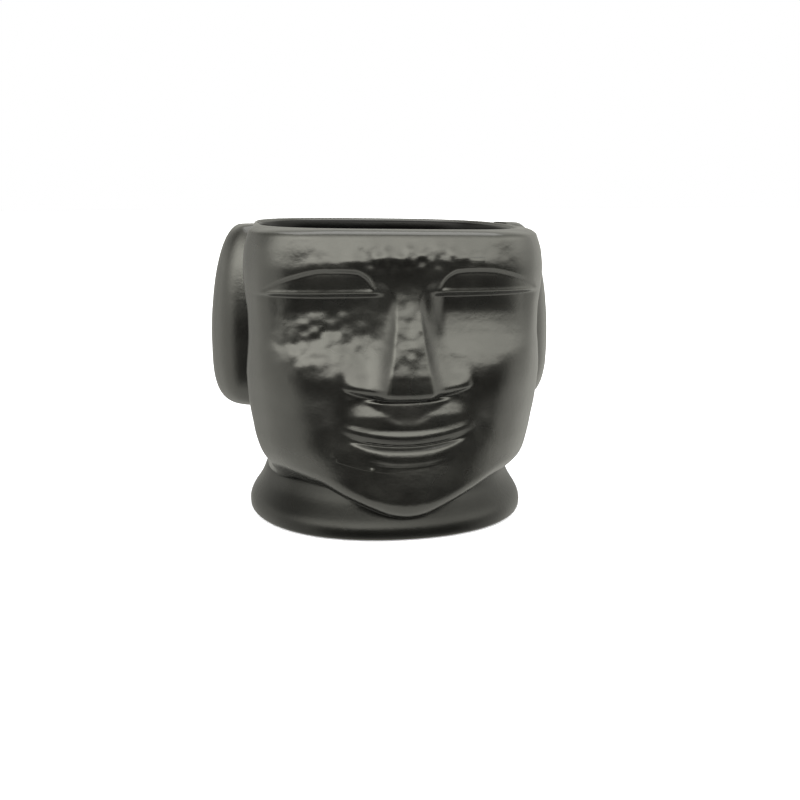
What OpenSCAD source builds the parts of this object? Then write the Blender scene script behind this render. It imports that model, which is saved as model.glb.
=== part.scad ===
// Squat head-shaped drinking mug, hand built from clay members luted together and glazed.
// Millimetres, +Z up. Origin: centre of the foot on the table. The face looks along -Y.

/* [Whole mug] */
// overall height, table to rim
mug_height = 100; // [80:1:130]
// half the width of the head over the cheeks, ears left out
head_half_width = 49.6; // [40:0.5:60]
// from the foot axis to the flat of the forehead
head_front = 46.5; // [38:0.5:55]
// from the foot axis to the back of the head
head_back = 46; // [38:0.5:55]
// how square the head is in plan, 2 is an ellipse
head_squareness = 3.3; // [2:0.1:5]

/* [Inside] */
// half the width of the opening
mouth_half_width = 43.2; // [35:0.2:50]
// from the foot axis to the inside of the front wall
mouth_front = 38.5; // [30:0.5:45]
// from the foot axis to the inside of the back wall
mouth_back = 40.5; // [30:0.5:45]
// thickness of the glossy coat inside
glaze_thickness = 0.8; // [0.5:0.1:1.5]
// radius of the flat inside bottom
inside_bottom_radius = 35; // [25:0.5:38]

/* [Foot] */
// radius of the foot where it spreads on the table
foot_radius = 48.5; // [40:0.1:55]
// radius of the neck under the jaw
neck_radius = 43.1; // [36:0.1:50]
// height of the foot and neck
foot_height = 15; // [10:0.5:20]
// radius of the hollow under the foot
foot_bore = 37; // [25:0.5:40]
// thickness of the floor of the cup
floor_thickness = 6; // [4:0.5:9]
// height of the bare clay band
bare_height = 0.5; // [0.4:0.1:2]

/* [Face] */
// how far the nose tip stands in front of the foot axis
nose_reach = 52.7; // [49:0.1:60]
// half the width across the nose wings
nose_half_width = 20.4; // [14:0.2:26]
// depth of the eye slits behind the lids
slit_depth = 2.2; // [1:0.1:5]
// half the width of the upper lip
lip_half_width = 21.5; // [15:0.5:28]
// how far the lips stand out of the face
lip_swell = 3.2; // [2:0.1:7]

/* [Ears] */
// half the width over both ears
ear_reach = 60.9; // [54:0.1:68]
// length of an ear front to back
ear_length = 34; // [24:1:44]

/* [Hidden] */
k = mug_height / 100;
inside_bottom = foot_height;

// half width, front reach and back reach of the head at each percent of its height
width_at = [[6, 43], [12, 43.2], [16, 43.8], [20, 44.6], [24, 45.9], [28, 47.3], [34, 48.7], [44, 49.6],
            [54, 49.6], [64, 48.8], [72, 48.7], [80, 49.4], [88, 49.6], [93, 49.2], [97, 48.2], [100, 46.2]];
front_at = [[6, 51], [8, 51.5], [13, 51.5], [17, 51.1], [22, 50.3], [26, 49.7], [34, 48.5], [40, 47.9],
            [46, 47.2], [56, 46.1], [66, 45.3], [74, 45.2], [80, 45.9], [87, 46.9], [90.5, 46.8],
            [94, 46.1], [98.8, 44.5], [100, 43.2]];
back_at = [[6, 43.2], [14, 43.6], [22, 44.4], [32, 45.2], [46, 46], [90, 45.8], [98.8, 45], [100, 43.4]];
square_at = [[6, 2.3], [18, 2.4], [28, 2.8], [42, 3.1], [60, 3.3], [100, 3.4]];
// the head narrows behind the cheeks: factor on its width at each distance behind the foot axis
taper_at = [[-60, 1], [-42, 1], [-32, 1.012], [-25, 1.018], [-16, 0.985], [-8, 0.957], [2, 0.945],
            [14, 0.935], [30, 0.93], [60, 0.93]];
// lower edge of the jaw at each angle round from the chin
jaw_at = [[0, 7.3], [6, 7.8], [12, 9.2], [24, 12.8], [36, 16], [50, 16.8], [68, 15.2], [80, 15.4],
          [92, 16.8], [112, 17.2], [180, 16.6]];
// how far the flare of the foot falls inside its full radius at each height
flare_at = [[2.8, 0], [4.2, 0.04], [6, 0.19], [9, 0.5], [11.5, 0.76], [14, 0.95], [15, 1]];
// upper edge of the eye slit at each distance from the middle of the face
brow_edge = [[9.4, 79.4], [11.3, 83.1], [12.9, 85.2], [16, 86.8], [22, 87.2], [27, 87], [32, 86.1],
             [38.9, 83.8], [42.4, 81.7], [45.4, 79.4]];
// the hollow of the cheek under the eye
under_lid = [[47, 0], [54, -0.1], [59, -0.5], [64, -1.2], [68, -1.7], [72, -1.9], [76, -1.8], [78, -1.4],
             [80, -0.3], [81.5, 0]];

function smooth(t) = let(c = min(1, max(0, t))) c * c * (3 - 2 * c);
function hill(x, z, a, b) = exp(-x * x / (a * a) - z * z / (b * b));
function plan(phi, w, d, n) = pow(pow(abs(cos(phi)) / w, n) + pow(abs(sin(phi)) / d, n), -1 / n);

// radius of the flared foot above its toe
function foot_at(z) = foot_radius - (foot_radius - neck_radius) * lookup(z * 15 / foot_height, flare_at);
function from_chin(phi) = atan2(abs(cos(phi)), -sin(phi));
function jaw_edge(phi) = lookup(from_chin(phi), jaw_at);
// the rounding under the jaw is taller behind the ears
function jaw_round(phi) = 7 + 5 * smooth((from_chin(phi) - 72) / 22);
function narrowing(phi, y, z) = 1 + (lookup(y, taper_at) - 1) * smooth((z - jaw_edge(phi) - 1) / 9);

// the lens-shaped eye opening between brow and lid
function in_slit(a, z) = smooth((lookup(a, brow_edge) - z) / 2.4 + 0.35) * smooth((z - 80) / 1.8 + 0.4)
    * smooth((a - 9.2) / 2.6) * smooth((47 - a) / 4);

// how far the clay of the face stands out of the plain head, before nose and lips go on
function relief(x, z) = let(a = abs(x))
    - slit_depth * in_slit(a, z) + lookup(z, under_lid) * smooth((a - 6.5) / 7) * smooth((49 - a) / 10)
    + 1.9 * hill(a - 27, z - 51, 14, 11) + 0.3 * hill(x, z - 41, 17, 3)
    - 0.7 * hill(x, z - 42, 4.6, 3.6);

// point of the head outside; at the jaw it rounds under and draws in to the neck
function head_point(phi, z) = let(
    w = lookup(z, width_at) * head_half_width / 49.6,
    d = sin(phi) < 0 ? lookup(z, front_at) * head_front / 46.5 : lookup(z, back_at) * head_back / 46,
    full = plan(phi, w, d, lookup(z, square_at) * head_squareness / 3.3),
    root = foot_at(jaw_edge(phi)) - 0.25,
    up = min(1, max(0, (z - jaw_edge(phi)) / jaw_round(phi))),
    r = root + (full - root) * pow(1 - pow(1 - up, 2), 0.5),
    f = smooth((-sin(phi) - 0.3) / 0.3),
    y = r * sin(phi) - f * relief(r * cos(phi), z))
    [r * cos(phi) * narrowing(phi, y, z), y, z * k];

head_angles = concat([for (i = [0 : 59]) 180 + 3 * i], [for (i = [0 : 23]) 7.5 * i]);
jaw_steps = [0, 0.02, 0.06, 0.13, 0.22, 0.34, 0.5, 0.72, 1];
head_levels = concat([for (z = [27 : 3.2 : 75]) z], [for (z = [76.4 : 1.3 : 90]) z],
                     [92.5, 96, 98.8, 99.6, 100]);

// skin a stack of rings, each running anticlockwise seen from the end of the stack
module loft(rings) {
    n = len(rings[0]);
    m = len(rings);
    sides = [for (j = [0 : m - 2]) for (i = [0 : n - 1]) let(i2 = (i + 1) % n)
        each [[j * n + i, (j + 1) * n + i, (j + 1) * n + i2], [j * n + i, (j + 1) * n + i2, j * n + i2]]];
    ends = [[for (i = [0 : n - 1]) i], [for (i = [n - 1 : -1 : 0]) (m - 1) * n + i]];
    polyhedron(points = [for (r = rings) each r], faces = concat(sides, ends));
}

module head_outside() {
    root = [for (phi = head_angles) let(r = foot_at(jaw_edge(phi)) - 0.25)
        [r * cos(phi), r * sin(phi), 5 * k]];
    jaw = [for (t = jaw_steps) [for (phi = head_angles)
        head_point(phi, jaw_edge(phi) + (24 - jaw_edge(phi)) * t)]];
    loft(concat([root], jaw, [for (z = head_levels) [for (phi = head_angles) head_point(phi, z)]]));
}

// rings of the hollow of the cup, drawn in by t; the bottom is rounded into the wall
hollow_rows = [0, 0.06, 0.15, 0.27, 0.4, 0.55, 0.75, 1, 2];
function hollow_ring(t, s, bottom, top) = let(
    q = pow(1 - pow(1 - min(s, 1), 2), 0.5),
    z = s > 1 ? top : bottom + s * 24)
    [for (i = [0 : 47]) let(
        phi = 7.5 * i,
        r0 = inside_bottom_radius,
        r1 = plan(phi, mouth_half_width, sin(phi) < 0 ? mouth_front : mouth_back, 3.1),
        r = r0 + (r1 - r0) * q - t)
        [r * cos(phi), r * sin(phi), z]];
function hollow_rings(t, bottom, top) = [for (s = hollow_rows) hollow_ring(t, s, bottom, top)];

// profile of the foot from the table up to the jaw, outside only
flare = [for (h = [2.8, 4.2, 6, 7.5, 9, 10.2, 11.5, 12.8, 14]) let(z = h * foot_height / 15)
    [foot_at(z), z]];
toe = [for (i = [0 : 4]) let(b = 18 * i)
    [foot_radius - 1.1 + 1.1 * sin(b), 2.4 - (2.4 - bare_height) * cos(b)]];
neck = [[neck_radius, foot_height]];

module foot_solid() {
    rotate_extrude($fn = 180) polygon(concat([[0, bare_height]], toe, flare, neck, [[0, foot_height]]));
}

// head: hollow wall with brow, eye slits, cheeks and chin pressed into it
module head_wall() color([0.11, 0.115, 0.105]) difference() {
    head_outside();
    loft(hollow_rings(0, inside_bottom, mug_height * 1.2));
    foot_solid();
}

// round floor set in the foot
module cup_floor() color([0.10, 0.10, 0.095])
    translate([0, 0, foot_height - floor_thickness]) cylinder(h = floor_thickness, r = foot_bore, $fn = 180);

// flared foot and neck, open underneath
module foot() color([0.11, 0.115, 0.105])
    rotate_extrude($fn = 180)
        polygon(concat([[foot_bore, bare_height]], toe, flare, neck, [[foot_bore, foot_height]]));

// bare clay band that stands on the table
module foot_ring() color([0.42, 0.30, 0.22])
    rotate_extrude($fn = 180)
        polygon([[39, 0], [foot_radius - 2.9, 0], [foot_radius - 2.5, bare_height], [38.6, bare_height]]);

// ear lobe: a long rounded pad, its back cut to the side of the head
ear_middle = 58;
function ear_out(z) = let(up = z > ear_middle, h = up ? 41.8 : 21.2, e = up ? 2 : 3)
    pow(max(0, 1 - pow(abs(z - ear_middle) / h, e)), 1 / e);
module ear_solid() {
    levels = concat([for (b = [-88 : 11 : 0]) ear_middle + 21.2 * sin(b)],
                    [for (b = [9 : 9 : 81]) ear_middle + 41.8 * sin(b)], [ear_middle + 41.6]);
    loft([for (z = levels) let(
        g = ear_out(z),
        half = ear_length / 2 * (0.35 + 0.65 * g))
        [for (i = [0 : 17]) let(b = -90 + i * 180 / 17, c = pow(abs(cos(b)), 0.75), s = sin(b))
            [40 + (9 + (ear_reach - 49) * g) * c, 7 + half * s, z * k]]]);
}
module ear_right() color([0.11, 0.115, 0.105]) difference() {
    ear_solid();
    head_outside();
}
module ear_left() color([0.11, 0.115, 0.105]) difference() {
    mirror([1, 0, 0]) ear_solid();
    head_outside();
}

// nose: flat ridge that widens to the wings and ends in a shelf
ridge_half = [[44.4, 7.6], [45.6, 8.8], [50, 8.6], [56, 7.2], [64, 5.4], [74, 4.2], [83, 5]];
wing_half = [[44.4, 0.82], [45.6, 0.98], [48.6, 1], [52, 0.86], [58, 0.70], [66, 0.58], [76, 0.50],
             [83, 0.56]];
ridge_reach = [[44.4, -3], [45.6, -0.8], [48, 0], [51, 0], [54, -0.6], [58, -1.6], [64, -3.2], [70, -4.8],
               [75, -5.9], [80, -6.2], [83, -6.2]];
module nose() color([0.11, 0.115, 0.105]) difference() {
    loft([for (z = [44.4, 45, 45.8, 48, 50.5, 53, 56, 60, 64, 69, 74, 79, 83]) let(
        r = lookup(z, ridge_half),
        w = lookup(z, wing_half) * nose_half_width,
        y = nose_reach + lookup(z, ridge_reach),
        flank = [for (i = [0 : 5]) let(t = i / 5) [w + (r - w) * t, -43 - (y - 43) * pow(t, 1.15)]])
        concat([[-w, -39, z * k]], [for (p = flank) [-p[0], p[1], z * k]], [[0, -y - 0.5, z * k]],
               [for (i = [5 : -1 : 0]) [flank[i][0], flank[i][1], z * k]], [[w, -39, z * k]])]);
    head_outside();
}

// lips: rolls of clay laid across the face, thinning to upturned corners
module lip_roll(half, middle, lift, thick, reach) {
    loft([for (b = [-84 : 12 : 84]) let(x = half * sin(b), c = cos(b))
        [for (t = [0 : 20 : 340])
            [x, -43.5 + (3 + reach * pow(c, 0.6)) * cos(t),
             (middle + lift * pow(x / half, 2) + (0.5 + thick * pow(c, 0.7)) * sin(t)) * k]]]);
}
module upper_lip() color([0.11, 0.115, 0.105]) difference() {
    lip_roll(lip_half_width, 34.8, 3.3, 2.3, lip_swell);
    head_outside();
}
module lower_lip() color([0.11, 0.115, 0.105]) difference() {
    lip_roll(lip_half_width - 2, 28.6, 3, 2.3, lip_swell + 1);
    head_outside();
}

// glossy coat over the floor and the inside of the wall
module inside_glaze() color([0.03, 0.03, 0.03]) {
    glaze_top = mug_height - 1.2;
    coat = hollow_rings(glaze_thickness, inside_bottom + glaze_thickness, glaze_top);
    m = len(coat);
    loft(concat(hollow_rings(0, inside_bottom, glaze_top), [for (j = [m - 1 : -1 : 0]) coat[j]]));
}

head_wall();
cup_floor();
foot();
foot_ring();
ear_left();
ear_right();
nose();
upper_lip();
lower_lip();
inside_glaze();
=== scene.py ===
"""Looks for the head-shaped mug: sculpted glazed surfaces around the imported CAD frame."""
import math

import bpy
import numpy as np
from mathutils import Matrix, Vector, noise


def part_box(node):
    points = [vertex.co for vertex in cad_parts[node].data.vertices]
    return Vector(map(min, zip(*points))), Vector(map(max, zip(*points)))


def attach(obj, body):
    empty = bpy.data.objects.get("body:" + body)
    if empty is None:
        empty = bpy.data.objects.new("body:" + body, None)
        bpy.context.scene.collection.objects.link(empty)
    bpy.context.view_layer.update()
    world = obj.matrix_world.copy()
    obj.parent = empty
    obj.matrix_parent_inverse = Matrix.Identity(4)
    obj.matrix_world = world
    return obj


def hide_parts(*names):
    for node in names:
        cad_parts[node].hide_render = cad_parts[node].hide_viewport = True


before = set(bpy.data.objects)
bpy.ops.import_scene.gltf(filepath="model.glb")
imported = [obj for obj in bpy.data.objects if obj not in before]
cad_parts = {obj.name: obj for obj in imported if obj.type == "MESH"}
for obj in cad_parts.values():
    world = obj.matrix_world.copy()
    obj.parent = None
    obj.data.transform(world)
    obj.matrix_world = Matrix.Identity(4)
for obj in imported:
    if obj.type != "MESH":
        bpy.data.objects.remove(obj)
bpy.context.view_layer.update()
MM = 0.001

# ---------------------------------------------------------------- curves and masks

def smooth(t):
    t = np.clip(t, 0.0, 1.0)
    return t * t * (3.0 - 2.0 * t)


def hill(x, z, a, b):
    return np.exp(-(x / a) ** 2 - (z / b) ** 2)


def curve(x, knots):
    """Smooth, never-overshooting curve through the knots."""
    k = np.array(knots, float)
    xs, ys = k[:, 0], k[:, 1]
    h = np.diff(xs)
    d = np.diff(ys) / h
    m = np.zeros(len(xs))
    m[0], m[-1] = d[0], d[-1]
    both = d[:-1] * d[1:]
    m[1:-1] = np.where(both > 0, 2.0 * both / np.where(both > 0, d[:-1] + d[1:], 1.0), 0.0)
    x = np.clip(np.asarray(x, float), xs[0], xs[-1])
    i = np.clip(np.searchsorted(xs, x) - 1, 0, len(xs) - 2)
    t = (x - xs[i]) / h[i]
    return ((2 * t ** 3 - 3 * t ** 2 + 1) * ys[i] + (t ** 3 - 2 * t ** 2 + t) * h[i] * m[i]
            + (3 * t ** 2 - 2 * t ** 3) * ys[i + 1] + (t ** 3 - t ** 2) * h[i] * m[i + 1])


def lumps(points, size, seed, octaves=2):
    """Soft noise in -1..1 at each point, one lump about every size millimetres."""
    flat = np.asarray(points, float).reshape(-1, 3)
    out = np.zeros(len(flat))
    for n, p in enumerate(flat):
        at = Vector((p[0] / size + seed, p[1] / size - seed, p[2] / size))
        out[n] = noise.fractal(at, 1.0, 2.0, octaves, noise_basis="PERLIN_NEW")
    return out.reshape(np.asarray(points).shape[:-1])


# ---------------------------------------------------------------- the head, in millimetres

# half width, front reach, back reach and squareness of the head by height
WIDTH_AT = [[6, 43.0], [12, 43.2], [16, 43.6], [20, 44.3], [24, 45.6], [28, 46.9], [34, 48.4],
            [44, 49.6], [52, 49.5], [60, 48.7], [66, 48.3], [72, 48.4], [80, 49.1], [86, 49.4],
            [92, 49.0], [96, 48.0], [100, 46.4]]
FRONT_AT = [[6, 51.0], [8, 51.5], [13, 51.5], [17, 51.1], [22, 50.3], [26, 49.6], [30, 49.1],
            [34, 48.4], [40, 47.9], [46, 47.2], [56, 46.1], [66, 45.3], [74, 45.2], [80, 45.9],
            [86, 46.9], [100, 46.9]]
BACK_AT = [[6, 43.2], [14, 43.6], [22, 44.4], [32, 45.2], [46, 46], [90, 45.8], [100, 45.3]]
SQUARE_AT = [[6, 2.3], [18, 2.4], [28, 2.7], [42, 3.1], [54, 3.9], [62, 4.3], [100, 4.3]]
SQUARE_BEHIND = 2.8
# the head narrows behind the cheeks: factor on its width by front-to-back position
TAPER_AT = [[-60, 1], [-42, 1], [-32, 1.012], [-25, 1.018], [-16, 0.985], [-8, 0.957], [2, 0.945],
            [14, 0.935], [30, 0.93], [60, 0.93]]
# lower edge of the jaw by angle round from the chin, and the flared foot below it
JAW_AT = [[-12, 9.2], [-6, 7.8], [0, 7.3], [6, 7.8], [12, 9.2], [24, 12.8], [36, 16.0], [50, 16.8],
          [68, 15.2], [80, 15.4], [92, 17.0], [112, 17.4], [180, 16.6]]
FOOT_AT = [[0.3, 47.3], [0.7, 48.0], [1.4, 48.4], [2.8, 48.5], [4.2, 48.3], [6, 47.6], [9, 45.8],
           [11.5, 44.4], [14, 43.4], [15.5, 43.0], [16.8, 42.3], [18, 41.2]]

# where the rim begins to roll over, and the roll: share of the wall crossed, height gained
RIM_Z = 96.9
RIM_ROLL = [(0.035, 0.55), (0.09, 1.05), (0.17, 1.5), (0.27, 1.9), (0.38, 2.2), (0.5, 2.4),
            (0.62, 2.5), (0.75, 2.42), (0.87, 2.15), (0.95, 1.7), (0.99, 1.1)]

# the cup inside: half width, reach before and behind, squareness before and behind, bottom
CUP_HALF, CUP_FRONT, CUP_BACK = 43.2, 38.5, 40.5
CUP_SQUARE_FRONT, CUP_SQUARE_BACK = 3.1, 2.7
CUP_BOTTOM_Z, CUP_BOTTOM_RADIUS = 15.0, 34.0
# the glossy coat in the cup: thickness, and how deep its outer side is sunk in the clay
COAT, COAT_SUNK = 0.8, 0.3

# ear lobe: height where it is widest, reach of its two tips, depth of the fold down its back
EAR_WAIST_Z, EAR_TIP, EAR_FOLD = 58.0, 49, 0.6

# eye slit: upper edge and lid by distance from the middle of the face
BROW_EDGE = [[9.4, 79.4], [10.3, 81.0], [11.3, 83.1], [12.9, 85.2], [16, 86.8], [22, 87.2],
             [27, 87.0], [32, 86.1], [38.9, 83.8], [42.4, 81.7], [45.4, 79.4]]
LID_EDGE = [[8, 79.9], [14, 80.3], [38, 80.1], [46, 79.2]]
# the hollow under each eye by height
UNDER_LID = [[47, 0], [54, -0.1], [59, -0.5], [64, -1.2], [68, -1.7], [72, -1.9], [76, -2.2],
             [78.7, -2.4], [79.2, -1.8], [79.7, -0.7], [80.2, 0], [82, 0]]
UNDER_LID_RIGHT = [[47, 0], [56, 0.1], [60, -0.1], [63, -0.5], [67, -1.4], [71, -2.25], [74, -2.7],
                   [78.5, -2.9], [79.1, -2.1], [79.7, -0.7], [80.2, 0], [82, 0]]
# nose by height: reach of the ridge, half width of its flat, half width over the wings
RIDGE_REACH = [[42, 51.8], [46, 52.6], [50, 52.7], [54, 52.5], [57, 51.9], [60, 51.3], [64, 50.4],
               [68, 49.4], [72, 48.35], [75, 47.5], [78, 46.95], [82, 46.7], [86, 46.9], [90, 46.8]]
RIDGE_HALF = [[44, 7.6], [49, 7.3], [54, 6.7], [60, 5.7], [66, 5.0], [72, 4.4], [77, 4.2],
              [81, 5.5], [84, 8.5], [88, 14]]
WING_HALF = [[44, 18.5], [47, 20.4], [49, 20.8], [52.6, 18.8], [59, 15.0], [65.4, 12], [71.7, 9.8],
             [77, 8.8], [81, 10], [84, 13], [88, 20]]
# how far each lip stands out, by height over its own middle line
UPPER_LIP = [[-3.2, 0], [-2.6, 0.02], [-2.0, 0.16], [-1.2, 0.55], [-0.5, 0.8], [0, 0.82],
             [0.5, 0.74], [1.1, 0.48], [1.7, 0.22], [2.3, 0.05], [3.0, 0], [4.2, 0]]
LOWER_LIP = [[-4.4, 0], [-3.4, 0.06], [-2.4, 0.42], [-1.4, 0.85], [-0.6, 1.02], [0.2, 1.05],
             [1.0, 0.96], [1.7, 0.76], [2.4, 0.46], [2.9, 0.18], [3.3, 0]]
# heights in the middle of the face: both lips, the crease of the mouth, the seam of the lips
UPPER_LIP_Z, LOWER_LIP_Z, MOUTH_Z, SEAM_Z = 34.6, 28.1, 31.4, 31.6
# the plate between nose and mouth, outside the philtrum
PLATE = [[34, 0], [36, 0.05], [38.5, 0.2], [41, 0.15], [43.5, -0.35], [45.2, -0.75], [46.5, -0.9],
         [48.5, -0.4], [50, 0]]
SHELF_Z = 46.7
# pin-sized marks in the glaze, across and up
MARKS = [(-24.0, 29.5), (-11.9, 24.6), (-26.5, 69.4)]


def plain_depth(x, z):
    """How far the plain head reaches in front of the axis, before the face is worked."""
    w, f, n = curve(z, WIDTH_AT), curve(z, FRONT_AT), curve(z, SQUARE_AT)
    return f * (1.0 - np.clip(np.abs(x) / w, 0, 0.9999) ** n) ** (1.0 / n)


def shelf_edge(x):
    return SHELF_Z + 2.8 * np.clip(np.abs(x) / 18.0, 0, 1.3) ** 2.3


def eye(x, z):
    """The sunk slit under the brow: an even, nearly upright floor between two rounded edges."""
    a = np.abs(x)
    top, lid = curve(a, BROW_EDGE), curve(a, LID_EDGE)
    up = np.clip((z - lid) / np.maximum(top - lid, 0.5), 0, 1)
    inside = smooth((top - z) / 1.9 + 0.4) * smooth((z - lid) / 2.0 + 0.3)
    ends = smooth((a - 9.2) / 3.0) * smooth((47.0 - a) / 4.5) * smooth((top - lid + 0.6) / 2.4)
    return -(0.25 + 0.95 * up) * inside * ends


def lift(a):
    """The mouth line rises toward its corners."""
    return 3.3 * (a / 21.0) ** 2


def worked(x, z):
    """What the face adds to the plain head, nose and lips left out."""
    a = np.abs(x)
    # eyes, the hollows under them and the cheeks
    side = smooth((a - 6.5) / 7.0) * smooth((49 - a) / 10.0)
    pressed = np.where(x > 0, curve(z, UNDER_LID_RIGHT), curve(z, UNDER_LID))
    out = eye(x, z) + pressed * side
    out += 1.9 * hill(a - 27, z - np.where(x < 0, 53.5, 51.0), 14, 11)
    # the plate over the mouth, with the philtrum down its middle
    half = 9.2 - 1.15 * (43.7 - z)
    philtrum = 1 - smooth((a - half) / 5.0 + 0.5)
    philtrum = philtrum * smooth((z - 37.0) / 4.0) * smooth((47.0 - z) / 1.5)
    out += (curve(z, PLATE) * (1 - philtrum) - 0.1 * philtrum) * smooth((23 - a) / 8.0)
    # the forehead leans back, most in its middle
    lean = z - 90.9 + 2.4 * np.minimum(a / 30, 1.2) ** 2
    lean = 0.5 * (lean + np.sqrt(lean ** 2 + 0.8))
    out -= (0.30 - 0.14 * smooth((a - 20) / 13)) * lean
    # the crease of the mouth and the groove under the shelf of the nose
    mouth = z - MOUTH_Z - lift(a)
    out -= 0.7 * np.exp(-(mouth / 0.8) ** 2) * smooth((20.5 - a) / 9.0)
    ledge = z - shelf_edge(x)
    out -= 0.2 * np.exp(-((ledge + 0.8) / 0.7) ** 2) * smooth((22 - a) / 7.0)
    # beside the nose wings and the corners of the mouth
    out -= 0.3 * hill(a - 21.6, z - 50.0, 1.1, 2.2)
    out -= 0.4 * hill(a - 24.5, z - 38.0, 3.0, 4.5)
    for mark_x, mark_z in MARKS:
        out += 0.22 * hill(x - mark_x, z - mark_z, 0.45, 0.6)
    return out


def nose_height(x, z):
    """Ridge and wings over the face; their lower edge rounds under to the shelf."""
    a = np.abs(x)
    middle = plain_depth(0.0 * x, z) + worked(0.0 * x, z)
    tall = np.maximum(curve(z, RIDGE_REACH) - middle, 0.0)
    r, w = curve(z, RIDGE_HALF) - 0.9, curve(z, WING_HALF)
    t = np.clip((a - r) / (w - r), 0, 1)
    t = np.sqrt(t * t + 0.012) - 0.1095
    body = np.clip(1.0 - 1.0068 * t, 0, 1) ** 3.1
    wing = 1.3 * hill(a - 16.5, z - 50.5, 4.2, 4.2) * smooth((21.8 - a) / 2.6)
    below = np.clip((shelf_edge(x) + 2.8 - z) / 2.8, 0, 1)
    stand = tall * body + wing
    under = np.minimum(2.6, 0.75 * stand) * (1 - np.sqrt(1 - below ** 2))
    keep = smooth((z - shelf_edge(x)) / 1.2 + 0.8) * smooth((90 - z) / 7.0)
    return (stand - under) * keep


def upper_lip_height(x, z):
    a = np.abs(x)
    up = z - lift(a) - UPPER_LIP_Z
    return 0.72 * curve(up, UPPER_LIP) * smooth((23.2 - a) / 7.0)


def lower_lip_height(x, z):
    a = np.abs(x)
    up = z - lift(a) - LOWER_LIP_Z
    reach = 19.0 + 0.8 * np.clip(up, -2, 2)
    return 0.75 * curve(up, LOWER_LIP) * smooth((reach - a) / 12.0)


def lip_seam(x):
    """Where the patches of the two lips meet."""
    return SEAM_Z + lift(np.abs(x))


def hammered(x, z, points):
    """Small beaten dents, strongest on the cheek at -X, over the brow and on the nose."""
    much = (0.50 * hill(x + 27, z - 66, 16, 10) + 0.50 * hill(x, z - 91, 27, 3.6)
            + 0.30 * hill(x, z - 68, 6, 15) + 0.08 * hill(x - 27, z - 64, 13, 8))
    return much * (lumps(points, 3.3, 3.7, 1) + 0.5 * lumps(points, 6.5, 1.2, 1))


def face_depth(x, z, rough):
    return plain_depth(x, z) + worked(x, z) + rough


def surface_noise(x, z):
    """Unevenness of the hand-worked face, shared by the head, nose and lips so that they meet."""
    points = np.stack([x, 0 * x, z], -1)
    return hammered(x, z, points) + 0.10 * lumps(points, 16.0, 9.1) + 0.015 * lumps(points, 3.0, 5.3)


# ---------------------------------------------------------------- meshes

def ring(radius, phi, z):
    return np.stack([radius * np.cos(phi), radius * np.sin(phi), np.full_like(phi, z)], -1)


def finish_piece(name, verts, faces, replaces, material, edge):
    """Mesh in millimetres to a named piece on root; edge says where the glaze breaks thin."""
    mesh = bpy.data.meshes.new(name)
    mesh.from_pydata((np.asarray(verts) * MM).tolist(), [], faces)
    mesh.validate()
    mesh.polygons.foreach_set("use_smooth", [True] * len(mesh.polygons))
    layer = mesh.attributes.new("glaze_break", "FLOAT", "POINT")
    layer.data.foreach_set("value", np.asarray(edge, np.float32))
    mesh.update()
    piece = bpy.data.objects.new(name, mesh)
    bpy.context.scene.collection.objects.link(piece)
    mesh.materials.append(material)
    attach(piece, "root")
    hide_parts(*replaces)
    return piece


def grid_faces(rows, cols, wrap_rows, wrap_cols, flip=False):
    faces = []
    for j in range(rows if wrap_rows else rows - 1):
        j2 = (j + 1) % rows
        for i in range(cols if wrap_cols else cols - 1):
            i2 = (i + 1) % cols
            quad = (j * cols + i, j * cols + i2, j2 * cols + i2, j2 * cols + i)
            faces.append(quad[::-1] if flip else quad)
    return faces


def sharpness(P, wrap_rows, wrap_cols, reach=2):
    """How far each grid point stands proud of its neighbours, from 0 to 1 on tight edges."""
    mean = sum(np.roll(P, shift, axis) for shift in (reach, -reach) for axis in (0, 1)) / 4
    normal = np.cross(np.roll(P, -1, 1) - np.roll(P, 1, 1), np.roll(P, -1, 0) - np.roll(P, 1, 0))
    normal /= np.maximum(np.linalg.norm(normal, axis=-1, keepdims=True), 1e-9)
    step = np.linalg.norm(np.roll(P, reach, 0) - np.roll(P, -reach, 0), axis=-1)
    proud = np.sum((P - mean) * normal, -1) / np.maximum(step, 0.2)
    if not wrap_rows:
        proud[:reach + 1], proud[-reach - 1:] = 0, 0
    if not wrap_cols:
        proud[:, :reach + 1], proud[:, -reach - 1:] = 0, 0
    return np.clip(proud * 6.0, 0, 1)


def neck_shift(z):
    """The neck stands a little off centre under the head."""
    return 0.9 * np.exp(-((z - 20.0) / 5.0) ** 2)


def tilt_rim(P):
    """The rim dried a little higher behind and over the ear at -X."""
    P[..., 2] += (0.4 - 0.015 * P[..., 0] + 0.009 * P[..., 1]) * smooth((P[..., 2] - 78) / 20)


def from_chin(phi):
    return np.degrees(np.arctan2(np.abs(np.cos(phi)), -np.sin(phi)))


def jaw_edge(phi):
    return curve(from_chin(phi), JAW_AT)


def head_radius(phi, z):
    """Radius of the plain head, its jaw rounded under and drawn in to the foot."""
    d = np.where(np.sin(phi) < 0, curve(z, FRONT_AT), curve(z, BACK_AT))
    w, n = curve(z, WIDTH_AT), curve(z, SQUARE_AT)
    n = np.where(np.sin(phi) < 0, n, np.minimum(n, SQUARE_BEHIND))
    full = ((np.abs(np.cos(phi)) / w) ** n + (np.abs(np.sin(phi)) / d) ** n) ** (-1 / n)
    low = jaw_edge(phi)
    root = curve(low, FOOT_AT) - 0.9
    behind = smooth((from_chin(phi) - 72) / 22)
    up = np.clip((z - low) / (7.0 + 5.0 * behind), 0, 1)
    return root + (full - root) * np.sqrt(1 - (1 - up) ** 2)


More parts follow.
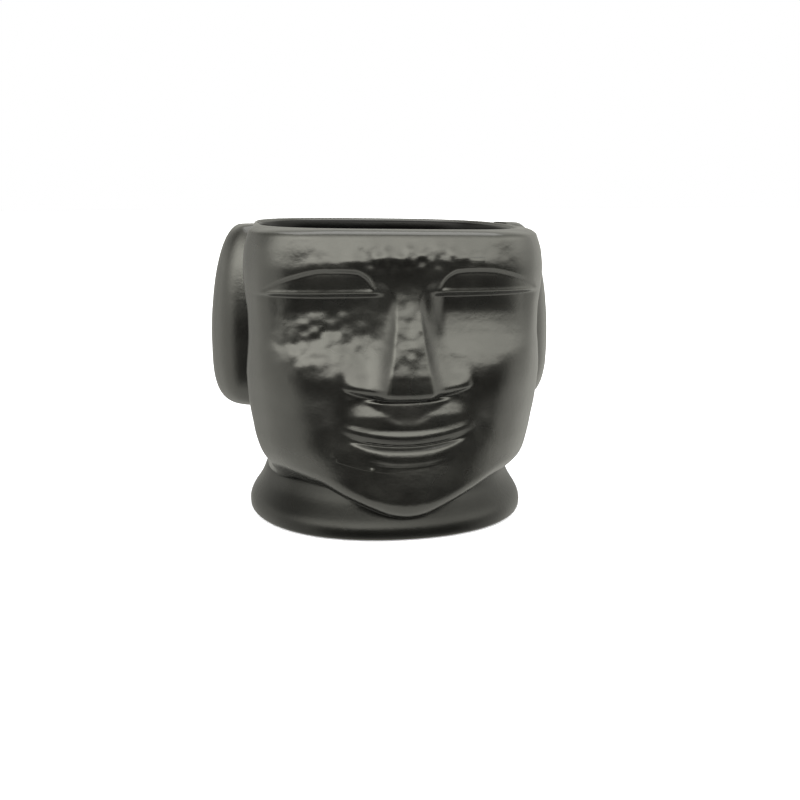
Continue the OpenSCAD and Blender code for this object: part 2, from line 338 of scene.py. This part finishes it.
def build_head(material):
    front = np.radians(np.arange(180, 360, 180 / 280))
    back = np.radians(np.arange(0, 180, 180 / 80))
    phi = np.concatenate([front, back])
    zs = np.concatenate([np.arange(24, 50, 0.4), np.arange(50, 76, 0.5), np.arange(76, 90, 0.32),
                         np.arange(90, RIM_Z, 0.6)])
    low = jaw_edge(phi)
    jaw_rows = [low + (24 - low) * t ** 1.8 for t in np.linspace(0, 1, 30)[:-1]]
    Z = np.concatenate([np.array(jaw_rows), np.tile(zs[:, None], (1, len(phi)))], 0)
    PHI = np.tile(phi, (len(Z), 1))
    r = head_radius(PHI, Z)
    X, Y = r * np.cos(PHI), r * np.sin(PHI)
    front_part = smooth((-np.sin(PHI) - 0.28) / 0.3)
    Y = Y - front_part * (worked(X, Z) + surface_noise(X, Z))
    uneven = 0.22 * lumps(np.stack([X, Y, Z], -1), 15.0, 2.2)
    sides = (1 - front_part) * uneven * smooth((Z - 18) / 8)
    X, Y = X + np.cos(PHI) * sides, Y + np.sin(PHI) * sides
    taper = (curve(Y, TAPER_AT) - 1) * smooth((Z - low - 1) / 9)
    X = neck_shift(Z) + X * (1 + taper * (1 + 0.9 * smooth((38 - Z) / 14)))
    outer = np.stack([X, Y, Z], -1)

    # the rim rolls over from the last outer row to the inside of the wall
    inner = ring(inside_radius(phi), phi, RIM_Z)
    rim = []
    for across, rise in RIM_ROLL:
        row = outer[-1] * (1 - across) + inner * across
        row[:, 2] = RIM_Z + rise
        rim.append(row)
    down = [96.6, 90, 75, 60, 46, 41, 36, 31, 27, 23, 20, 18, 16.5, 15.6, CUP_BOTTOM_Z]
    wall = [ring(inside_radius(phi, z), phi, z) for z in down]
    # under the cup floor the wall closes inside the foot
    wall += [ring(38.5, phi, z) for z in (14.5, 7.5)]
    P = np.concatenate([outer, np.array(rim), np.array(wall)], 0)
    tilt_rim(P)
    edge = sharpness(P, True, True)
    faces = grid_faces(P.shape[0], P.shape[1], True, True)
    return finish_piece("head_wall_glazed", P.reshape(-1, 3), faces, ["head_wall"],
                        material, edge.reshape(-1))


def cup_plan(toward_front):
    """Reach and squareness of the cup before and behind the middle."""
    reach = np.where(toward_front, CUP_FRONT, CUP_BACK)
    return reach, np.where(toward_front, CUP_SQUARE_FRONT, CUP_SQUARE_BACK)


def inside_radius(phi, z=100.0):
    """Radius of the cup inside; it draws in low down, and its bottom is rounded into the wall."""
    d, n = cup_plan(np.sin(phi) < 0)
    full = ((np.abs(np.cos(phi)) / CUP_HALF) ** n + (np.abs(np.sin(phi)) / d) ** n) ** (-1 / n)
    full = full - 2.6 * smooth((46.0 - z) / 22.0)
    up = min(1.0, max(0.0, (z - CUP_BOTTOM_Z) / 26.0))
    return CUP_BOTTOM_RADIUS + (full - CUP_BOTTOM_RADIUS) * math.sqrt(1 - (1 - up) ** 2)


def build_patch(name, half, low_edge, high_edge, steps, height, replaces, material):
    """A luted-on member: its face follows the head plus height, its back is sunk in the wall."""
    cols = 150
    xs = np.linspace(-half, half, cols)
    S = np.linspace(0, 1, steps)
    X = np.tile(xs, (steps, 1))
    low, high = low_edge(X), high_edge(X)
    Z = low + (high - low) * S[:, None]
    D = face_depth(X, Z, surface_noise(X, Z)) + height(X, Z) - 0.02
    # its borders dip under the surface of the head
    for side in (np.s_[0], np.s_[-1], np.s_[:, 0], np.s_[:, -1]):
        D[side] -= 0.6
    front = np.stack([X, -D, Z], -1)
    rear = np.stack([X, 6.0 - plain_depth(X, Z), Z], -1)
    edge = sharpness(front, False, False)
    n = steps * cols
    faces = grid_faces(steps, cols, False, False)
    faces += [tuple(v + n for v in q[::-1]) for q in faces]
    border = [i for i in range(cols)] + [j * cols + cols - 1 for j in range(1, steps)]
    border += [(steps - 1) * cols + i for i in range(cols - 2, -1, -1)]
    border += [j * cols for j in range(steps - 2, 0, -1)]
    for a, b in zip(border, border[1:] + border[:1]):
        faces.append((b, a, a + n, b + n))
    verts = np.concatenate([front.reshape(-1, 3), rear.reshape(-1, 3)])
    edge = np.concatenate([edge.reshape(-1), np.zeros(n)])
    return finish_piece(name, verts, faces, replaces, material, edge)


def wall_middle(y):
    """Distance from the middle plane to just outside the hollow of the cup, at each depth y."""
    d, n = cup_plan(y < 0)
    return CUP_HALF * (1 - (np.abs(y) / d) ** n) ** (1 / n) + 1.0


def build_ear(side, material):
    """A closed lobe at -X (side -1) or +X (side 1), its size taken from the CAD ear."""
    name = "ear_left" if side < 0 else "ear_right"
    lo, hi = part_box(name)
    reach = max(abs(lo.x), abs(hi.x)) / MM + 0.5 * side
    middle_y = (lo.y + hi.y) / 2 / MM
    half = (hi.y - lo.y) / 2 / MM
    # the right lobe hangs a little lower than the left
    low, high = lo.z / MM - (1.2 if side > 0 else -0.2), hi.z / MM
    b = np.radians(np.linspace(-90, 90, 72))
    a = np.radians(np.linspace(-89, 89, 110))
    rings = []
    for t in a:
        z = EAR_WAIST_Z + (high - EAR_WAIST_Z if t > 0 else EAR_WAIST_Z - low) * np.sin(t)
        g = abs(np.cos(t)) if t > 0 else (1 - abs(np.sin(t)) ** 3.0) ** (1 / 3.0)
        long = half * (0.35 + 0.65 * g)
        c = np.abs(np.cos(b)) ** 0.75
        y = middle_y + long * np.sin(b)
        sunk = wall_middle(y)
        x = sunk + (EAR_TIP - sunk + (reach - EAR_TIP) * g) * c
        # a shallow fold down the back half of the lobe
        x = x - EAR_FOLD * g * np.exp(-((y - middle_y - 6) / 4.5) ** 2) * smooth((g - 0.4) / 0.4)
        # the lobe is closed inside the wall
        back_y = middle_y + long * np.linspace(1, -1, 26)[1:-1]
        x, y = np.concatenate([x, wall_middle(back_y)]), np.concatenate([y, back_y])
        rings.append(np.stack([side * x, y, np.full_like(x, z)], -1))
    P = np.array(rings)
    P[..., 0] += side * np.clip(0.12 * lumps(P, 12.0, 4.4 + side), -0.3, 0.0)
    n_r, n_c = P.shape[:2]
    faces = grid_faces(n_r, n_c, False, True, flip=side < 0)
    faces.append(tuple(range(n_c))[::-1] if side > 0 else tuple(range(n_c)))
    top = tuple(range((n_r - 1) * n_c, n_r * n_c))
    faces.append(top if side > 0 else top[::-1])
    edge = sharpness(P, False, True) * 0.6
    return finish_piece(name + "_lobe", P.reshape(-1, 3), faces, [name],
                        material, edge.reshape(-1))


def build_foot(material):
    heights = [18, 17, 16, 15, 14, 13, 12, 11, 10, 9, 8, 7, 6.2, 5.4, 4.7, 4, 3.4, 2.8, 2.2, 1.7,
               1.3, 1.0, 0.75, 0.6, 0.5]
    outside = [(float(curve(z, FOOT_AT)), z) for z in heights]
    # the underside over the bare ring, and the hollow of the foot
    bore = [(46.0, 0.45), (38.6, 0.5), (37.6, 0.8), (37.1, 1.6), (37.0, 4.0), (37.0, 9.5),
            (37.0, 15.4), (40.4, 17.6)]
    phi = np.linspace(0, 2 * math.pi, 240, endpoint=False)
    rows = []
    for r, z in outside + bore:
        wobble = 0.10 * np.sin(2 * phi + 0.7) + 0.06 * np.sin(5 * phi + z * 0.2)
        squared = 1.2 * np.sin(2 * phi) ** 2 * smooth((r - 44) / 4.0)
        row = ring(r - 0.16 + (wobble if r > 42 else 0) + squared, phi, z)
        row[:, 0] += neck_shift(z)
        rows.append(row)
    P = np.array(rows)
    edge = sharpness(P, True, True, 1) * 0.5
    faces = grid_faces(len(rows), len(phi), True, True, flip=True)
    return finish_piece("foot_glazed", P.reshape(-1, 3), faces, ["foot"],
                        material, edge.reshape(-1))


def build_liner(material):
    """The coat over the floor and wall of the cup, closed at the bottom by two discs."""
    phi = np.linspace(0, 2 * math.pi, 180, endpoint=False)
    floor_z = CUP_BOTTOM_Z + COAT
    rows = []
    lows = [15, 15.1, 15.4, 15.9, 16.6, 17.5, 18.6, 20, 22, 24, 26.5, 29, 32, 35, 38, 41, 44]
    for z in lows + list(np.linspace(47, 97.9, 20)):
        rows.append((inside_radius(phi, z) - COAT, max(z, floor_z + 0.4 * (z - CUP_BOTTOM_Z))))
    rows.append((inside_radius(phi) - 0.62, 98.4))
    rows.append((inside_radius(phi) - 0.25, 98.7))
    rows.append((inside_radius(phi) + COAT_SUNK, 98.6))
    for z in [97, 60, 46, 41, 36, 31, 27, 23, 20, 18, 16.5, 15.6, CUP_BOTTOM_Z]:
        rows.append((inside_radius(phi, z) + COAT_SUNK, z))
    P = np.array([ring(r, phi, z) for r, z in rows])
    tilt_rim(P)
    n = len(phi)
    faces = grid_faces(len(rows), n, False, True, flip=True)
    verts = P.reshape(-1, 3).tolist() + [[0, 0, floor_z], [0, 0, CUP_BOTTOM_Z]]
    last = (len(rows) - 1) * n
    for i in range(n):
        faces.append((len(verts) - 2, i, (i + 1) % n))
        faces.append((len(verts) - 1, last + (i + 1) % n, last + i))
    return finish_piece("inside_glaze_coat", verts, faces, ["inside_glaze"],
                        material, np.zeros(len(verts)))


# ---------------------------------------------------------------- materials

def node(tree, kind, **inputs):
    """New shader node; each keyword names an input, with _ for a space."""
    made = tree.nodes.new(kind)
    for key, value in inputs.items():
        made.inputs[key.replace("_", " ")].default_value = value
    return made


def glaze(name, dark, worn, rough_low, rough_high, ior, bump, tint):
    material = bpy.data.materials.new(name)
    material.use_nodes = True
    tree = material.node_tree
    link = tree.links.new
    shader = tree.nodes["Principled BSDF"]
    shader.inputs["IOR"].default_value = ior
    shader.inputs["Specular Tint"].default_value = (*tint, 1)
    place = tree.nodes.new("ShaderNodeTexCoord")

    cloud = node(tree, "ShaderNodeTexNoise", Scale=85.0, Detail=4.0, Roughness=0.6)
    grain = node(tree, "ShaderNodeTexNoise", Scale=900.0, Detail=3.0, Roughness=0.55)
    pool = node(tree, "ShaderNodeTexNoise", Scale=28.0, Detail=2.0, Roughness=0.5)
    for tex in (cloud, grain, pool):
        link(place.outputs["Object"], tex.inputs["Vector"])

    # colour: near black where the glaze is thick, olive grey where it breaks over an edge
    breaks = tree.nodes.new("ShaderNodeAttribute")
    breaks.attribute_name = "glaze_break"
    mottle = node(tree, "ShaderNodeMapRange", From_Min=0.35, From_Max=0.7, To_Min=0.0, To_Max=0.35)
    link(cloud.outputs["Fac"], mottle.inputs["Value"])
    amount = tree.nodes.new("ShaderNodeMath")
    amount.operation = "MAXIMUM"
    link(breaks.outputs["Fac"], amount.inputs[0])
    link(mottle.outputs["Result"], amount.inputs[1])
    paint = tree.nodes.new("ShaderNodeMix")
    paint.data_type = "RGBA"
    paint.inputs["A"].default_value = (*dark, 1)
    paint.inputs["B"].default_value = (*worn, 1)
    link(amount.outputs["Value"], paint.inputs["Factor"])
    link(paint.outputs["Result"], shader.inputs["Base Color"])

    # roughness drifts between satin and a little glossier pools
    drift = node(tree, "ShaderNodeMapRange", From_Min=0.3, From_Max=0.7, To_Min=rough_low,
                 To_Max=rough_high)
    link(pool.outputs["Fac"], drift.inputs["Value"])
    link(drift.outputs["Result"], shader.inputs["Roughness"])

    # fine grain, with a softer orange peel over it
    skin = node(tree, "ShaderNodeBump", Strength=bump, Distance=0.0002)
    link(grain.outputs["Fac"], skin.inputs["Height"])
    peel = node(tree, "ShaderNodeBump", Strength=bump * 0.9, Distance=0.0006)
    link(cloud.outputs["Fac"], peel.inputs["Height"])
    link(skin.outputs["Normal"], peel.inputs["Normal"])
    link(peel.outputs["Normal"], shader.inputs["Normal"])
    return material


def bare_clay():
    material = bpy.data.materials.new("bare_clay")
    material.use_nodes = True
    tree = material.node_tree
    link = tree.links.new
    shader = tree.nodes["Principled BSDF"]
    place = tree.nodes.new("ShaderNodeTexCoord")
    speck = node(tree, "ShaderNodeTexNoise", Scale=1400.0, Detail=4.0, Roughness=0.65)
    cloud = node(tree, "ShaderNodeTexNoise", Scale=120.0, Detail=3.0, Roughness=0.5)
    link(place.outputs["Object"], speck.inputs["Vector"])
    link(place.outputs["Object"], cloud.inputs["Vector"])
    ramp = tree.nodes.new("ShaderNodeValToRGB")
    ramp.color_ramp.elements[0].position = 0.35
    ramp.color_ramp.elements[0].color = (0.16, 0.10, 0.07, 1)
    ramp.color_ramp.elements[1].position = 0.65
    ramp.color_ramp.elements[1].color = (0.36, 0.25, 0.18, 1)
    link(speck.outputs["Fac"], ramp.inputs["Fac"])
    link(ramp.outputs["Color"], shader.inputs["Base Color"])
    drift = node(tree, "ShaderNodeMapRange", From_Min=0.3, From_Max=0.7, To_Min=0.72, To_Max=0.95)
    link(cloud.outputs["Fac"], drift.inputs["Value"])
    link(drift.outputs["Result"], shader.inputs["Roughness"])
    grit = node(tree, "ShaderNodeBump", Strength=0.5, Distance=0.0003)
    link(speck.outputs["Fac"], grit.inputs["Height"])
    link(grit.outputs["Normal"], shader.inputs["Normal"])
    return material


# ---------------------------------------------------------------- studio

def build_studio():
    mesh = bpy.data.meshes.new("floor")
    half = 4.0
    corners = [(-half, -half, 0), (half, -half, 0), (half, half, 0), (-half, half, 0)]
    mesh.from_pydata(corners, [], [(0, 1, 2, 3)])
    floor = bpy.data.objects.new("floor", mesh)
    bpy.context.scene.collection.objects.link(floor)
    paper = bpy.data.materials.new("pale_paper")
    paper.use_nodes = True
    shader = paper.node_tree.nodes["Principled BSDF"]
    shader.inputs["Base Color"].default_value = (0.83, 0.84, 0.92, 1)
    shader.inputs["Emission Color"].default_value = (1, 1, 1, 1)
    shader.inputs["Emission Strength"].default_value = 0.3
    shader.inputs["Roughness"].default_value = 0.9
    shader.inputs["Specular IOR Level"].default_value = 0.1
    mesh.materials.append(paper)
    floor.visible_glossy = False

    # white tent all round, with a dark gap in front of the mug where the camera stands
    world = bpy.data.worlds.new("tent")
    bpy.context.scene.world = world
    world.use_nodes = True
    tree = world.node_tree
    link = tree.links.new
    tree.nodes.clear()
    out = tree.nodes.new("ShaderNodeOutputWorld")
    place = tree.nodes.new("ShaderNodeTexCoord")
    split = tree.nodes.new("ShaderNodeSeparateXYZ")
    link(place.outputs["Generated"], split.inputs["Vector"])

    def math_node(kind, a, b=None):
        m = tree.nodes.new("ShaderNodeMath")
        m.operation = kind
        for n, v in enumerate((a, b)):
            if v is None:
                continue
            if isinstance(v, (int, float)):
                m.inputs[n].default_value = v
            else:
                link(v, m.inputs[n])
        return m.outputs["Value"]

    def ramp(value, low, high, to_low=0.0, to_high=1.0):
        m = tree.nodes.new("ShaderNodeMapRange")
        m.interpolation_type = "SMOOTHSTEP"
        for key, v in (("From Min", low), ("From Max", high), ("To Min", to_low), ("To Max", to_high)):
            m.inputs[key].default_value = v
        link(value, m.inputs["Value"])
        return m.outputs["Result"]

    x, y, z = (split.outputs[k] for k in "XYZ")
    azimuth = math_node("ARCTAN2", x, math_node("MULTIPLY", y, -1.0))
    turned = math_node("ABSOLUTE", math_node("ADD", azimuth, -0.05))
    across = ramp(turned, 0.75, 1.3, 1.0, 0.0)
    above = ramp(z, 0.10, 0.36, 1.0, 0.0)
    below = ramp(z, -0.66, -0.44, 0.0, 1.0)
    gap = math_node("MULTIPLY", across, math_node("MULTIPLY", above, below))
    # a bright band above the gap, stronger to the left
    band = math_node("MULTIPLY", ramp(z, 0.06, 0.38, 0.0, 4.6), ramp(z, 0.45, 0.95, 1.0, 0.0))
    band = math_node("MULTIPLY", band, ramp(azimuth, -0.5, 0.8, 1.15, 0.62))
    band = math_node("MULTIPLY", band, ramp(turned, 1.0, 1.9, 1.0, 0.0))
    # dimmer overhead, high on the left and low behind
    top = math_node("ADD", band, ramp(z, 0.35, 0.75, 0.0, -0.3))
    shade = math_node("MULTIPLY", ramp(x, -0.8, -0.35, -0.9, 0.0), ramp(z, 0.15, 0.5, 0.0, 1.0))
    behind = math_node("MULTIPLY", ramp(y, 0.35, 0.95, 0.0, -1.0), ramp(z, 0.25, 0.6, 1.0, 0.0))
    sides = math_node("ADD", math_node("ADD", top, shade), math_node("ADD", behind, 1.6))
    outside_gap = math_node("SUBTRACT", 1.0, math_node("MULTIPLY", gap, 0.985))
    level = math_node("MULTIPLY", sides, outside_gap)
    level = math_node("MAXIMUM", level, 0.05)
    # the mug sees the tent, the camera sees plain white
    light = tree.nodes.new("ShaderNodeBackground")
    light.inputs["Color"].default_value = (1.0, 0.99, 0.90, 1)
    link(level, light.inputs["Strength"])
    seen = tree.nodes.new("ShaderNodeBackground")
    seen.inputs["Color"].default_value = (1, 1, 1, 1)
    path = tree.nodes.new("ShaderNodeLightPath")
    mix = tree.nodes.new("ShaderNodeMixShader")
    link(path.outputs["Is Camera Ray"], mix.inputs["Fac"])
    link(light.outputs["Background"], mix.inputs[1])
    link(seen.outputs["Background"], mix.inputs[2])
    link(mix.outputs["Shader"], out.inputs["Surface"])

    lamp = bpy.data.lights.new("top_softbox", "AREA")
    lamp.shape = "RECTANGLE"
    lamp.size, lamp.size_y = 0.7, 0.5
    lamp.energy = 3.0
    box = bpy.data.objects.new("top_softbox", lamp)
    box.location = (0.0, 0.05, 0.75)
    bpy.context.scene.collection.objects.link(box)


def build_camera():
    """The fitted view: from the front, turned 10 degrees and looking down 11.5."""
    back, right_by, height = 377.2 * MM, 5.69 * MM, 113.76 * MM
    turn, tip = math.radians(10.0), math.radians(11.5)
    right = Vector((math.cos(turn), -math.sin(turn), 0))
    ahead = Vector((math.sin(turn), math.cos(turn), 0))
    eye_at = -back * ahead + right_by * right + Vector((0, 0, height))
    look = ahead * math.cos(tip) - Vector((0, 0, 1)) * math.sin(tip)
    up = Vector((0, 0, 1)) * math.cos(tip) + ahead * math.sin(tip)
    data = bpy.data.cameras.new("camera")
    data.sensor_width = 36.0
    data.lens = 48.2175
    data.clip_start, data.clip_end = 0.01, 50
    camera = bpy.data.objects.new("camera", data)
    spin = Matrix((right, up, -look)).transposed()
    camera.matrix_world = Matrix.Translation(eye_at) @ spin.to_4x4()
    bpy.context.scene.collection.objects.link(camera)
    bpy.context.scene.camera = camera


# ---------------------------------------------------------------- put it together

satin = glaze("satin_glaze", (0.0028, 0.0027, 0.0024), (0.016, 0.016, 0.014), 0.20, 0.30,
              1.55, 0.2, (1.0, 1.0, 0.97))
# painted shade: the foot gets a darker, rougher and less reflective copy of the satin glaze, standing
# in for the shade under the chin
foot_satin_painted_shade = glaze("satin_glaze_foot_painted_shade", (0.0024, 0.0024, 0.0022), (0.008, 0.008, 0.007), 0.24, 0.34,
                   1.31, 0.2, (1.0, 1.0, 0.97))
# painted shade: the glossy coat in the cup is made near black and less reflective than the glaze
# outside, standing in for the shade inside the cup
gloss_painted_shade = glaze("gloss_glaze", (0.001, 0.001, 0.001), (0.002, 0.002, 0.002), 0.16, 0.24,
              1.22, 0.1, (1, 1, 1))
clay = bare_clay()

build_head(satin)
build_patch("nose_luted", 25, lambda x: np.full_like(x, 44.4), lambda x: np.full_like(x, 91.0),
            200, nose_height, ["nose"], satin)
build_patch("upper_lip_roll", 23.2, lip_seam, lambda x: lip_seam(x) + 7.4, 60,
            upper_lip_height, ["upper_lip"], satin)
build_patch("lower_lip_roll", 23.2, lambda x: lip_seam(x) - 8.6, lip_seam, 64,
            lower_lip_height, ["lower_lip"], satin)
build_ear(-1, satin)
build_ear(1, satin)
build_foot(foot_satin_painted_shade)
build_liner(gloss_painted_shade)
# the cup floor and the foot ring keep their CAD shape
for name, material in (("cup_floor", satin), ("foot_ring", clay)):
    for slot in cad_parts[name].material_slots:
        slot.material = material

build_studio()
build_camera()
bpy.context.scene.view_settings.view_transform = "Standard"
